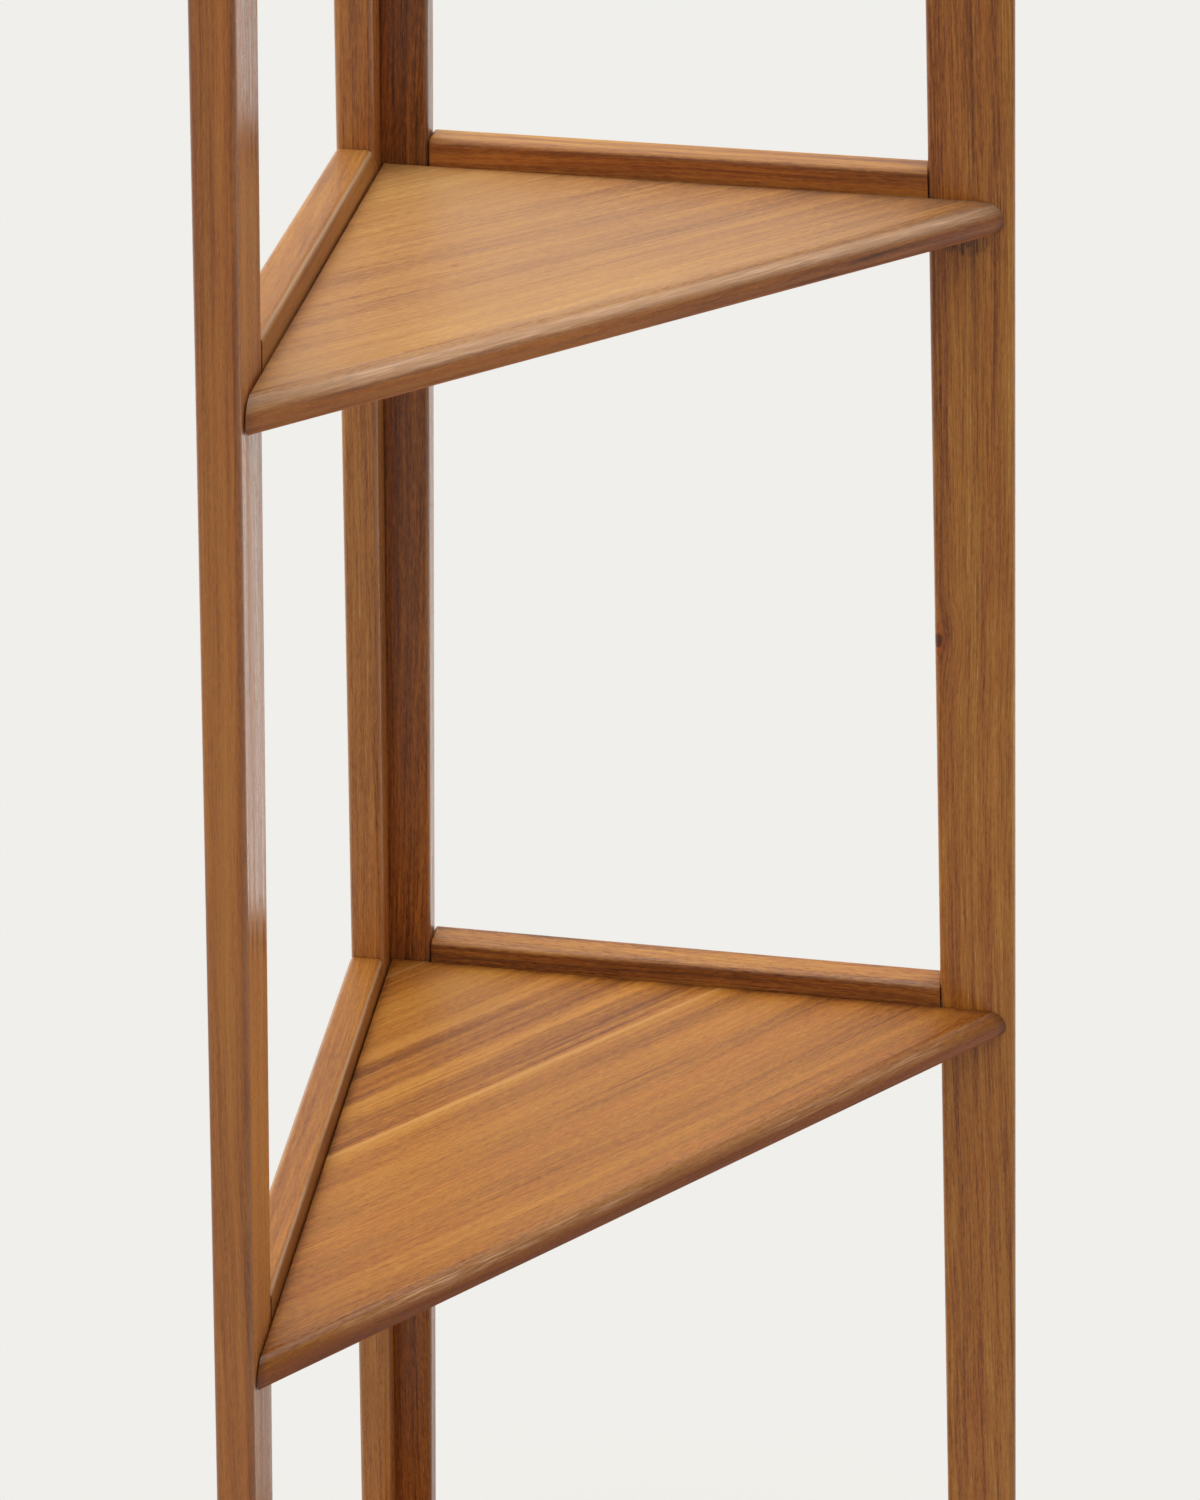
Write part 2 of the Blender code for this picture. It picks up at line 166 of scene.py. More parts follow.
def wood():
    return bpy.context.scene.shelving_wood


# Shader sums written as Python expressions

# How far a full step of a ramp moves the tone
LEVEL_GAIN = 1.25


class Term:
    """A socket of a node tree that takes part in Python sums."""

    def __init__(self, graph, socket):
        self.graph = graph
        self.socket = socket

    def __add__(self, other):
        return self.graph.math("ADD", self, other)

    def __sub__(self, other):
        return self.graph.math("SUBTRACT", self, other)

    def __mul__(self, other):
        return self.graph.math("MULTIPLY", self, other)

    def __rsub__(self, other):
        return self.graph.math("SUBTRACT", other, self)

    __radd__ = __add__
    __rmul__ = __mul__


class Graph:
    """The node tree of a material or a world."""

    def __init__(self, owner):
        owner.use_nodes = True
        self.owner = owner
        self.tree = owner.node_tree

    def feed(self, socket, value):
        if isinstance(value, Term):
            self.tree.links.new(value.socket, socket)
        else:
            socket.default_value = value

    def node(self, kind, settings=None, inputs=None, output=0):
        """Any node: its settings first, then values or links for its sockets."""
        made = self.tree.nodes.new(kind)
        for name, value in (settings or {}).items():
            if name == "stops":
                self.set_stops(made.color_ramp, value)
            elif name == "interpolation":
                made.color_ramp.interpolation = value
            else:
                setattr(made, name, value)
        for name, value in (inputs or {}).items():
            self.feed(made.inputs[name], value)
        return Term(self, made.outputs[output])

    @staticmethod
    def set_stops(ramp, stops):
        while len(ramp.elements) < len(stops):
            ramp.elements.new(1.0)
        for element, (place, colour) in zip(ramp.elements, stops):
            element.position = place
            element.color = (*colour, 1.0) if isinstance(colour, tuple) else (colour, colour, colour, 1.0)

    def math(self, operation, *values):
        return self.node("ShaderNodeMath", {"operation": operation}, dict(enumerate(values)))

    def smooth(self, value, low, high):
        """0 below low, 1 above high, eased between them."""
        settings = {"interpolation_type": "SMOOTHSTEP"}
        values = {"Value": value, "From Min": low, "From Max": high}
        return self.node("ShaderNodeMapRange", settings, values)

    def mix(self, factor, first, second, blend="MIX"):
        """Two colours mixed."""
        made = self.tree.nodes.new("ShaderNodeMix")
        made.data_type = "RGBA"
        made.blend_type = blend
        self.feed(made.inputs[0], factor)
        for socket, value in ((made.inputs[6], first), (made.inputs[7], second)):
            self.feed(socket, value if isinstance(value, Term) else (*value, 1.0))
        return Term(self, made.outputs[2])

    def noise(self, vector, scale=1.0, detail=3.0, seed=0.0):
        return self.node(
            "ShaderNodeTexNoise",
            {"noise_dimensions": "4D"},
            {"Vector": vector, "W": seed, "Scale": scale, "Detail": detail},
        )

    def layer(self, name, vector, seed):
        """One layer of the wood's figure, from the table of layers."""
        scale, offset, detail = LAYERS[name]
        return self.noise(self.stretched(vector, scale), seed=seed + offset, detail=detail)

    def stretched(self, vector, scale):
        return self.node("ShaderNodeVectorMath", {"operation": "MULTIPLY"}, {0: vector, 1: scale})

    def joined(self, x, y, z):
        return self.node("ShaderNodeCombineXYZ", None, {"X": x, "Y": y, "Z": z})

    def local(self, axes, place):
        """Object coordinates turned into a piece's own: x across, y through it, z along the grain."""
        coordinates = self.tree.nodes.new("ShaderNodeTexCoord")
        made = self.tree.nodes.new("ShaderNodeMapping")
        made.vector_type = "TEXTURE"
        self.tree.links.new(coordinates.outputs["Object"], made.inputs["Vector"])
        made.inputs["Location"].default_value = place
        made.inputs["Rotation"].default_value = Matrix(axes).transposed().to_euler()
        return Term(self, made.outputs["Vector"])

    def parts_of(self, vector):
        made = self.tree.nodes.new("ShaderNodeSeparateXYZ")
        self.feed(made.inputs["Vector"], vector)
        return [Term(self, output) for output in made.outputs]

    def levels(self, stops, value, scale):
        """How much darker or paler a value lies between stops, each a place and a level round 0.5."""
        stops = [(place / scale, level) for place, level in stops]
        settings = {"interpolation": "EASE", "stops": stops}
        level = self.node("ShaderNodeValToRGB", settings, {"Fac": value * (1.0 / scale)})
        return (level - 0.5) * LEVEL_GAIN

    def bump(self, height, strength, distance):
        return self.node(
            "ShaderNodeBump", None, {"Height": height, "Strength": strength, "Distance": distance},
        )


# Finishes

# How one piece's wood differs from the next. Tone is its lightness, gold its leaning from red to yellow,
# hue how much that varies and honey how deep the yellow is. Faded is its share of dry, paler surface,
# rough how much rougher it is, and wear and highlight how pale its arrises are from wear and a painted
# highlight, and how strong the painted highlight on its nose's crown is. Bands, dashes, strands
# and vessels are how bold these are, and streaks how unevenly the surface shines. Slant turns the growth
# rings, and drift is how far the grain moves across the piece per metre of its length.
# Knots are across, along, half width, half length and darkness, and dark patches the same without darkness.
# Sapwood is a paler edge: the two heights across the piece where it starts and is full, and how pale it is.
# Staves are where each starts, from a shelf's front edge, with its tone, its own grain and how bold its
# stripes are, and glue how pale the lines between them are. Stripes are single broad ones: how far from the
# piece's edge, and how much darker or paler than 0.5; on the front posts some are a painted highlight and
# painted shade on the arrises. Lengths are the same along the piece, from its foot; on the left rails and the
# upper shelf they are painted light and painted shade.
# Nose is how much darker a shelf's front edge is, and the tip shade how much painted shade darkens its two
# ends.
PLAIN_WOOD = {
    "seed": 0.0, "tone": 0.52, "gold": 0.0, "hue": 0.9, "faded": 0.0, "rough": 0.0, "wear_and_highlight": 0.35,
    "bands": 1.0, "dashes": 1.0, "vessels": 0.7, "slant": 0.3, "knots": (), "dark_patches": (), "sapwood": None,
    "staves": ((0.0, 0.5, 0.0, 0.5),), "glue": 0.4, "stripes": None, "lengths": None,
    "nose": 0.07, "tip_shade": 0.08, "streaks": 0.2, "strands": 0.6, "drift": 0.0, "honey": 0.0,
}
FIGURES = {
    "left_front_post": {
        "seed": 1.7, "tone": 0.575, "gold": -0.5, "hue": 0.6, "faded": 0.05, "bands": 0.5, "dashes": 0.5,
        "vessels": 0.2, "wear_and_highlight": 0.15, "slant": 1.0, "streaks": 0.9, "strands": 0.35,
        # Some of these stops darken the post along its arrises: painted shade laid over the grain
        "stripes": (
            (0.0, 0.50), (0.036, 0.46), (0.041, 0.40), (0.044, 0.45), (0.0475, 0.52), (0.052, 0.53),
            (0.0545, 0.47), (0.0562, 0.36), (0.060, 0.44),
        ),
        "lengths": ((0.0, 0.40), (0.36, 0.41), (0.62, 0.50), (0.90, 0.50), (1.15, 0.42), (1.60, 0.42)),
    },
    "right_front_post": {
        "seed": 4.2, "tone": 0.585, "gold": 0.05, "hue": 0.8, "bands": 0.35, "dashes": 0.8, "vessels": 0.4,
        "wear_and_highlight": 0.22, "drift": 0.012, "strands": 1.0,
        "stripes": (
            # The pale stop at 0.048, along the right arris, is a painted highlight; the others are the grain
            (0.0, 0.50), (0.010, 0.52), (0.0125, 0.43), (0.016, 0.42), (0.0185, 0.52), (0.0205, 0.56),
            (0.023, 0.53), (0.0248, 0.45), (0.027, 0.55), (0.0305, 0.52), (0.033, 0.43), (0.0362, 0.54),
            (0.0385, 0.54), (0.042, 0.45), (0.0455, 0.52), (0.048, 0.56), (0.054, 0.52),
        ),
        "lengths": ((0.0, 0.49), (0.50, 0.49), (0.72, 0.52), (0.90, 0.49), (1.12, 0.39), (1.60, 0.43)),
        "knots": ((-0.0184, 0.8077, 0.0023, 0.0046, 0.85),),
        # A dark, streaky patch just under the upper shelf's nose
        "dark_patches": ((-0.003, 1.0160, 0.012, 0.0070),),
    },
    "left_back_post": {
        "seed": 6.1, "tone": 0.60, "gold": -0.3, "hue": 0.5, "faded": 0.08, "bands": 0.3, "vessels": 0.5,
        "wear_and_highlight": 0.5, "slant": 0.8, "strands": 0.9,
        "lengths": ((0.0, 0.50), (0.80, 0.53), (1.10, 0.48), (1.60, 0.48)),
    },
    "right_back_post": {
        "seed": 2.9, "tone": 0.35, "gold": -0.1, "hue": 0.5, "faded": 0.03, "bands": 0.5, "dashes": 0.9,
        "streaks": 0.6, "strands": 0.9,
        "lengths": ((0.0, 0.50), (0.75, 0.53), (1.10, 0.44), (1.60, 0.45)),
    },
    "left_rail_1": {"seed": 12.1, "tone": 0.54},
    "left_rail_2": {
        "seed": 14.2, "tone": 0.385, "gold": 0.6, "hue": 0.15, "bands": 0.15, "dashes": 0.5,
        "strands": 0.35, "vessels": 0.1, "rough": 0.14, "wear_and_highlight": 0.8, "faded": 0.03, "honey": 0.3,
        # Paler towards the back post: painted light that evens out the shade there
        "lengths": ((0.0, 0.56), (0.05, 0.53), (0.10, 0.50)),
    },
    "left_rail_3": {
        "seed": 16.3, "tone": 0.45, "gold": 0.9, "hue": 0.15, "bands": 0.15, "dashes": 0.5,
        "strands": 0.35, "vessels": 0.1, "rough": 0.16, "wear_and_highlight": 1.0, "faded": 0.06, "honey": 0.1,
        # Paler towards the back post: painted light that evens out the shade there
        "lengths": ((0.0, 0.64), (0.05, 0.60), (0.11, 0.51)),
    },
    "left_rail_4": {"seed": 18.4, "tone": 0.50},
    "right_rail_1": {"seed": 19.4, "tone": 0.50},
    "right_rail_2": {
        "seed": 21.5, "tone": 0.355, "gold": 0.15, "faded": 0.03, "sapwood": (0.0110, 0.0145, 0.13),
        "vessels": 0.5, "wear_and_highlight": 0.1,
    },
    "right_rail_3": {
        "seed": 23.6, "tone": 0.535, "gold": -0.35, "faded": 0.03, "sapwood": (0.0105, 0.0135, 0.21),
        "honey": 0.22, "dashes": 0.8, "vessels": 0.5, "wear_and_highlight": 0.1, "rough": 0.14,
    },
    "right_rail_4": {"seed": 25.7, "tone": 0.53},
    "shelf_1": {
        "seed": 31.2, "tone": 0.56, "gold": 0.4, "dashes": 0.8,
        "staves": (
            (0.0, 0.48, 0.1, 0.5), (0.047, 0.54, 0.5, 0.4), (0.104, 0.45, 0.9, 0.7),
            (0.161, 0.52, 0.3, 0.5), (0.218, 0.5, 0.7, 0.5),
        ),
    },
    "shelf_2": {
        "seed": 34.9, "tone": 0.51, "gold": 0.85, "vessels": 0.4, "rough": 0.12, "dashes": 0.7,
        "honey": 0.15, "strands": 0.24, "bands": 0.6, "wear_and_highlight": 0.20,
        "staves": (
            (0.0, 0.50, 0.1, 0.17), (0.109, 0.50, 0.75, 0.50), (0.166, 0.50, 0.3, 0.25),
            (0.223, 0.49, 0.7, 0.3),
        ),
        "stripes": (
            (0.005, 0.44), (0.014, 0.47), (0.024, 0.51), (0.032, 0.45), (0.042, 0.45), (0.056, 0.51),
            (0.067, 0.45), (0.082, 0.54), (0.096, 0.42), (0.107, 0.58), (0.112, 0.44), (0.122, 0.44),
            (0.134, 0.57), (0.143, 0.46), (0.149, 0.44), (0.153, 0.47), (0.159, 0.35), (0.164, 0.40),
            (0.167, 0.55), (0.178, 0.48), (0.196, 0.55), (0.215, 0.48),
        ),
    },
    "shelf_3": {
        "seed": 38.6, "tone": 0.585, "gold": 1.1, "hue": 0.45, "faded": 0.20, "strands": 0.5,
        "vessels": 0.12, "rough": 0.14, "nose": 0.06, "tip_shade": 0.20, "wear_and_highlight": 0.9, "glue": 0.08,
        "knots": ((0.0765, -0.0514, 0.0012, 0.0024, 0.30),),
        "staves": ((0.0, 0.5, 0.1, 0.26), (0.095, 0.5, 0.13, 0.24), (0.152, 0.56, 0.4, 0.24)),
        "stripes": (
            (0.005, 0.50), (0.0105, 0.64), (0.018, 0.57), (0.030, 0.56), (0.038, 0.51), (0.046, 0.53),
            (0.058, 0.48), (0.078, 0.50), (0.110, 0.49), (0.145, 0.60), (0.170, 0.61),
        ),
        # Darker towards the right end: painted shade near the right post
        "lengths": ((0.0, 0.50), (0.05, 0.44), (0.12, 0.38), (0.24, 0.35)),
    },
    "shelf_4": {
        "seed": 42.3, "tone": 0.57, "gold": 0.4, "dashes": 0.8,
        "staves": ((0.0, 0.5, 0.1, 0.4), (0.060, 0.47, 0.6, 0.6), (0.117, 0.53, 0.3, 0.4)),
    },
}

# The distances, in metres, that the ramps of staves and stripes and the ramps of lengths span
STAVE_SCALE = 0.4
LENGTH_SCALE = 1.7

# The layers of the figure: cycles per metre across, through and along the piece, what is added to the
# piece's seed, and the octaves of detail. The first four lie on the piece, the others on its bent grain.
LAYERS = {
    "slow": ((5.0, 5.0, 1.2), 0.0, 1.0),
    "wander": ((22.0, 22.0, 5.0), 3.1, 1.0),
    "sway": ((12.0, 12.0, 6.0), 2.9, 3.0),
    "patches": ((90.0, 90.0, 14.0), 8.8, 3.0),
    "bands": ((75.0, 40.0, 1.8), 5.3, 2.0),
    "hue": ((120.0, 60.0, 2.5), 6.6, 1.0),
    "streak": ((210.0, 90.0, 3.0), 9.1, 2.0),
    "stripes": ((330.0, 160.0, 4.0), 7.7, 3.0),
    "threads": ((850.0, 300.0, 8.0), 8.3, 1.0),
    "shelf_strands": ((620.0, 500.0, 26.0), 2.6, 2.0),
    "bar_strands": ((1400.0, 500.0, 26.0), 2.6, 2.0),
    "glint_streaks": ((1500.0, 1500.0, 50.0), 3.7, 1.0),
    "dashes": ((1300.0, 1300.0, 190.0), 1.3, 2.0),
    "vessels": ((1600.0, 1600.0, 150.0), 4.4, 1.0),
    "fibre": ((3200.0, 3200.0, 420.0), 2.2, 1.0),
}

# How far apart in the noise the grain of two staves can lie
STAVE_JUMP = 30.0

# Where a part of a shelf starts and is full, in metres: across from the front edge, down from the top, off
# the middle along the edge, and off the frames. Painted shade darkens the two tips and a strip along the
# frames, and the crown is the line on the nose that catches the light, where a highlight is painted.
NOSE_ACROSS = (0.0035, 0.0095)
NOSE_DOWN = (0.0015, 0.0065)
FLANK_DOWN = (0.004, 0.010)
UNDER_DOWN = (0.0095, 0.0135)
TIP_SHADE_ALONG = (0.10, 0.24)
FRAME_SHADE_OFF_FRAMES = (0.001, 0.007)
CROWN_HIGHLIGHT_ACROSS = 0.0023
CROWN_HIGHLIGHT_HALF_WIDTH = (0.0005, 0.0022)
CROWN_HIGHLIGHT_ALONG = (0.14, 0.24)

# Half the width of a glue line and how far in from an arris its wear and painted highlight reach, each full
# and then gone
GLUE_LINE_HALF_WIDTH = (0.0004, 0.0018)
ARRIS_WEAR_AND_HIGHLIGHT = (0.0003, 0.0022)

# How strongly the grain bends round a knot, and how fast that fades across and along it
KNOT_BEND = 0.85
KNOT_FADE_ACROSS = 0.05
KNOT_FADE_ALONG = 0.048

# Colours that tint the wood, and those that it is mixed with where it is dry, where its arrises get wear and
# a painted highlight, and where a highlight is painted on a nose's crown
RED_TINT = (1.05, 0.90, 0.89)
YELLOW_TINT = (0.98, 1.08, 1.03)
FLANK_TINT = (1.06, 0.97, 0.78)
KNOT_TINT = (1.12, 0.84, 0.68)
DRY_AND_HIGHLIGHT = (0.62, 0.44, 0.28)
GLINT = (0.97, 0.63, 0.41)


def new_finish(name):
    graph = Graph(bpy.data.materials.new(name))
    graph.shader = graph.tree.nodes["Principled BSDF"]
    return graph


def round_knots(graph, across, along, knots):
    """Bends the grain round each knot, and gives how dark each point is and how near a knot it lies."""
    dark = 0.0
    halo = 0.0
    for centre, height, wide, tall, strength in knots:
        aside = across - centre
        up = along - height
        fade = (aside * aside) * (-KNOT_FADE_ACROSS / wide ** 2) - (up * up) * (KNOT_FADE_ALONG / tall ** 2)
        across = across - aside * graph.math("EXPONENT", fade) * KNOT_BEND
        spread = (aside * aside) * (1.0 / wide ** 2) + (up * up) * (1.0 / tall ** 2)
        dark = dark + (1.0 - graph.smooth(spread, 0.3, 1.3)) * strength
        halo = halo + (1.0 - graph.smooth(spread, 1.0, 6.0)) * strength
    return across, dark, halo


def hardwood(node, axes, place, half=None, reach=0.0):
    """Oiled hardwood with grain along the piece: bands, stripes, dark vessels, fibres, and arrises paled by
    wear and a painted highlight. On a shelf, painted shade darkens the tips and a strip along the frames, and
    a highlight is painted on the nose's crown.

    A bar gives half its width and half its thickness, a shelf its reach from the nose to the inner corner.
    """
    figure = {**PLAIN_WOOD, **FIGURES[node]}
    settings = wood()
    deep = tuple(settings.deep)
    seed = figure["seed"]
    graph = new_finish(f"{node}_wood")
    local = graph.local(axes, place)
    straight, through, along = graph.parts_of(local)
    across, knot, halo = round_knots(graph, straight, along, figure["knots"])

    # Staves, broad stripes and the slow change along the piece
    stops = [(start / STAVE_SCALE, (tone, jump, bold)) for start, tone, jump, bold in figure["staves"]]
    ramp = {"interpolation": "CONSTANT", "stops": stops}
    stave = graph.node("ShaderNodeValToRGB", ramp, {"Fac": across * (1.0 / STAVE_SCALE)})
    level, jump, bold = graph.parts_of(stave)
    own = seed + jump * STAVE_JUMP
    nose = 0.0
    if reach:
        down = 0.0 - through
        nose = (1.0 - graph.smooth(across, *NOSE_ACROSS)) * graph.smooth(down, *NOSE_DOWN)
    drifted = along * figure["drift"]
    if figure["stripes"]:
        edge = half[0] + half[1] * figure["slant"] if half else 0.0
        sway = graph.layer("sway", local, seed)
        from_edge = across + through * figure["slant"] + drifted + edge
        from_edge = from_edge + (sway - 0.5) * (0.003 if half else 0.005)
        level = level + graph.levels(figure["stripes"], from_edge, STAVE_SCALE)
    if figure["lengths"]:
        level = level + graph.levels(figure["lengths"], along, LENGTH_SCALE) * (1.0 - nose * 0.7)

    # Grain, from broad bands to single fibres
    slow = graph.layer("slow", local, seed)
    wander = graph.layer("wander", local, seed)
    rings = across + through * figure["slant"] + drifted + (slow - 0.5) * 0.040 + (wander - 0.5) * 0.005
    grain = graph.joined(rings, through, along)
    bands = graph.layer("bands", grain, own)
    stripes = graph.layer("stripes", grain, own)
    dashes = graph.layer("dashes", grain, own)
    fibre = graph.layer("fibre", grain, own)
    strands = graph.layer("bar_strands" if half else "shelf_strands", grain, own) - 0.5
    threads = graph.smooth(graph.layer("threads", grain, own), 0.58, 0.72)
    streak = graph.smooth(graph.layer("streak", grain, own), 0.58, 0.70)
    vessels = graph.smooth(graph.layer("vessels", grain, own), 0.58, 0.72)
    tone = figure["tone"] - 0.5 + level
    tone = tone + (bands - 0.5) * bold * (1.9 * figure["bands"])
    tone = tone + (stripes - 0.5) * (bold * 0.9 + 0.25 * figure["bands"])
    calm = 1.0 - nose * 0.6
    tone = tone + (dashes - 0.5) * (calm * (0.65 * figure["dashes"])) + (fibre - 0.5) * 0.3
    tone = tone - threads * (0.14 * figure["dashes"]) - streak * (bold * 0.3) + strands * figure["strands"]
    gold = strands * 0.8 + (0.5 + 0.5 * figure["gold"])
    faded = (dashes * 0.6 + 0.7) * figure["faded"]
    if reach:
        tone = tone + (wander - 0.5) * 0.12
        off_middle = graph.math("ABSOLUTE", along)
        under = graph.smooth(down, *UNDER_DOWN)
        # Painted shade in a narrow strip along the frames, where the shelf meets the rails
        frame_shade = 1.0 - graph.smooth(reach - across - off_middle, *FRAME_SHADE_OFF_FRAMES)
        # Painted shade towards the shelf's two ends, where the posts and rails shade it
        tip_shade = graph.smooth(off_middle, *TIP_SHADE_ALONG) * (1.0 - nose)
        flank = graph.smooth(down, *FLANK_DOWN)
        tone = tone - nose * (flank * 0.05 + figure["nose"]) + under * nose * 0.08
        tone = tone - frame_shade * 0.14 - tip_shade * figure["tip_shade"]
        gold = gold - nose * (flank * 0.5 + 0.40)
        faded = faded * (1.0 - nose * 0.7)
    if figure["sapwood"]:
        starts, full, pale = figure["sapwood"]
        sapwood = graph.smooth(across + (wander - 0.5) * 0.006, starts, full)
        tone = tone + sapwood * pale - sapwood * (1.0 - sapwood) * 0.5
        gold = gold + sapwood * 0.5

    # Colour
    stops = [
        (0.0, deep), (0.28, tuple(settings.brown)), (0.52, tuple(settings.orange)),
        (0.80, tuple(settings.gold)), (1.0, tuple(settings.pale)),
    ]
    colour = graph.node("ShaderNodeValToRGB", {"stops": stops}, {"Fac": tone})
    hue = graph.layer("hue", grain, own)
    tints = [(*tint[:2], tint[2] - figure["honey"]) for tint in (RED_TINT, YELLOW_TINT)]
    tint = graph.mix((hue - 0.5) * (1.4 * figure["hue"]) + gold, *tints)
    colour = graph.mix(1.0, colour, tint, "MULTIPLY")
    if reach:
        colour = graph.mix(nose * flank, colour, FLANK_TINT, "MULTIPLY")
    if figure["faded"]:
        colour = graph.mix(faded, colour, DRY_AND_HIGHLIGHT)
    colour = graph.mix(vessels * calm * (0.42 * figure["vessels"]), colour, deep)
    for start, _, _, _ in figure["staves"][1:]:
        line = 1.0 - graph.smooth(graph.math("ABSOLUTE", across - start), *GLUE_LINE_HALF_WIDTH)
        shows = line * graph.smooth(wander, 0.25, 0.6) * figure["glue"]
        colour = graph.mix(shows, colour, tuple(settings.pale))
    if figure["knots"]:
        colour = graph.mix(halo, colour, KNOT_TINT, "MULTIPLY")
        colour = graph.mix(knot, colour, deep)
    # Each dark patch darkens the wood in streaks
    for centre, height, wide, tall in figure["dark_patches"]:
        aside = (across - centre) * (1.0 / wide)
        up = (along - height) * (1.0 / tall)
        dark_patch = 1.0 - graph.smooth(aside * aside + up * up, 0.4, 1.2)
        colour = graph.mix(dark_patch * graph.smooth(dashes, 0.42, 0.60) * 0.85, colour, deep)

    # Pale arrises, from wear and a painted highlight, and painted highlight streaks along a shelf's nose
    rough = settings.roughness + (dashes - 0.5) * 0.25 + (stripes - 0.5) * figure["streaks"] + vessels * 0.12
    patches = graph.layer("patches", local, seed)
    if half:
        rough = rough + figure["rough"]
        # A bar's arrises are paled by wear and a painted highlight
        wear_and_highlight = figure["wear_and_highlight"]
        for place_across, edge in ((straight, half[0]), (through, half[1])):
            inset = edge - graph.math("ABSOLUTE", place_across)
            wear_and_highlight = (1.0 - graph.smooth(inset, *ARRIS_WEAR_AND_HIGHLIGHT)) * wear_and_highlight
        wear_and_highlight = wear_and_highlight * graph.smooth(patches, 0.24, 0.48)
    else:
        rough = rough + graph.smooth(across, 0.004, 0.014) * figure["rough"] + under * 0.4
        # A painted highlight, in streaks, along the nose's crown
        crown_highlight = 1.0 - graph.smooth(graph.math("ABSOLUTE", across - CROWN_HIGHLIGHT_ACROSS), *CROWN_HIGHLIGHT_HALF_WIDTH)
        glint_streaks = graph.smooth(graph.layer("glint_streaks", grain, own), 0.45, 0.65) * graph.smooth(patches, 0.35, 0.60)
        wear_and_highlight = crown_highlight * (1.0 - under) * (glint_streaks * 0.45 + 0.5 * figure["wear_and_highlight"])
        wear_and_highlight = wear_and_highlight * (1.0 - graph.smooth(off_middle, *CROWN_HIGHLIGHT_ALONG))
        rough = rough - nose * (1.0 - under) * 0.05
    # Mixes in the pale arrises, wear and a painted highlight, and the painted highlight on a nose's crown
    colour = graph.mix(wear_and_highlight, colour, DRY_AND_HIGHLIGHT if half else GLINT)
    rough = rough + wear_and_highlight * 0.15

    # End grain is darker and rougher
    normal = graph.node("ShaderNodeNewGeometry", output=1)
    product = {"operation": "DOT_PRODUCT"}
    facing = graph.node("ShaderNodeVectorMath", product, {0: normal, 1: axes[2]}, output=1)
    end_grain = graph.smooth(graph.math("ABSOLUTE", facing), 0.75, 0.95)
    colour = graph.mix(end_grain * 0.5, colour, tuple(settings.brown))
    graph.feed(graph.shader.inputs["Base Color"], colour)
    graph.feed(graph.shader.inputs["Roughness"], rough + end_grain * 0.2)
    height = dashes * 0.5 + fibre * 0.2 + stripes * 0.5 - vessels * 0.7 - threads * 0.3
    graph.feed(graph.shader.inputs["Normal"], graph.bump(height, 0.25, 0.0003))
    graph.shader.inputs["IOR"].default_value = 1.5
    return graph.owner


def steel(name, colour, roughness):
    graph = new_finish(name)
    coordinates = graph.node("ShaderNodeTexCoord", output=3)
    wear_and_highlight = graph.noise(coordinates, scale=900.0, detail=3.0, seed=0.4)
    shade = tuple(part * 0.8 for part in colour)
    graph.feed(graph.shader.inputs["Base Color"], graph.mix(wear_and_highlight, colour, shade))
    graph.feed(graph.shader.inputs["Roughness"], roughness + (wear_and_highlight - 0.5) * 0.25)
    graph.shader.inputs["Metallic"].default_value = 1.0
    return graph.owner


def moulded_plastic(name, colour):
    graph = new_finish(name)
    coordinates = graph.node("ShaderNodeTexCoord", output=3)
    grain = graph.noise(coordinates, scale=1800.0, detail=2.0, seed=0.9)
    scuff = graph.noise(coordinates, scale=160.0, detail=4.0, seed=1.9)
    pale = tuple(part + 0.03 for part in colour)
    graph.feed(graph.shader.inputs["Base Color"], graph.mix(graph.smooth(scuff, 0.5, 0.7), colour, pale))
    graph.feed(graph.shader.inputs["Roughness"], 0.5 + (scuff - 0.5) * 0.2)
    graph.feed(graph.shader.inputs["Normal"], graph.bump(grain, 0.2, 0.0002))
    return graph.owner


def dress(piece, material):
    piece.data.materials.clear()
    piece.data.materials.append(material)


# Modelling steps that several pieces share

# Segments of the roundings along a piece and round its ends
LONG_SEGMENTS = 6
END_SEGMENTS = 3

# The border inside a flat face, and the smallest flat that gets one, in square metres
FLAT_BORDER = 0.0004
SMALLEST_POST_FLAT = 0.005
SMALLEST_RAIL_FLAT = 0.002
SMALLEST_SHELF_FLAT = 0.001

# How far outside its start a cutter begins, and its sides
CUTTER_SPARE = 0.01
CUTTER_SIDES = 40

# The recess of a head: its play round the head, how deep its seat lies under the head's top, and how far
# outside the head it starts
HEAD_PLAY = 0.0004
HEAD_SEAT = 0.0035
HEAD_CLEAR = 0.004


def start_block(name, size):
    """A cube of the given size at the origin, in edit mode."""
    bpy.ops.object.select_all(action="DESELECT")
    bpy.ops.mesh.primitive_cube_add(size=1.0, location=(0.0, 0.0, 0.0))
    piece = bpy.context.object
    piece.name = name
    piece.data.name = name
    bpy.ops.object.mode_set(mode="EDIT")
    bpy.ops.mesh.select_all(action="SELECT")
    bpy.ops.transform.resize(value=size)
    return piece


def pick(piece, kind, test):
    """Selects the vertices, edges or faces that pass the test, and says how many do."""
    modes = {"verts": (True, False, False), "edges": (False, True, False), "faces": (False, False, True)}
    bpy.context.tool_settings.mesh_select_mode = modes[kind]
    bpy.ops.mesh.select_all(action="DESELECT")
    mesh = bmesh.from_edit_mesh(piece.data)
    mesh.normal_update()
    found = 0
    for element in getattr(mesh, kind):
        if test(element):
            element.select_set(True)
            found += 1
    mesh.select_flush_mode()
    bmesh.update_edit_mesh(piece.data)
    return found


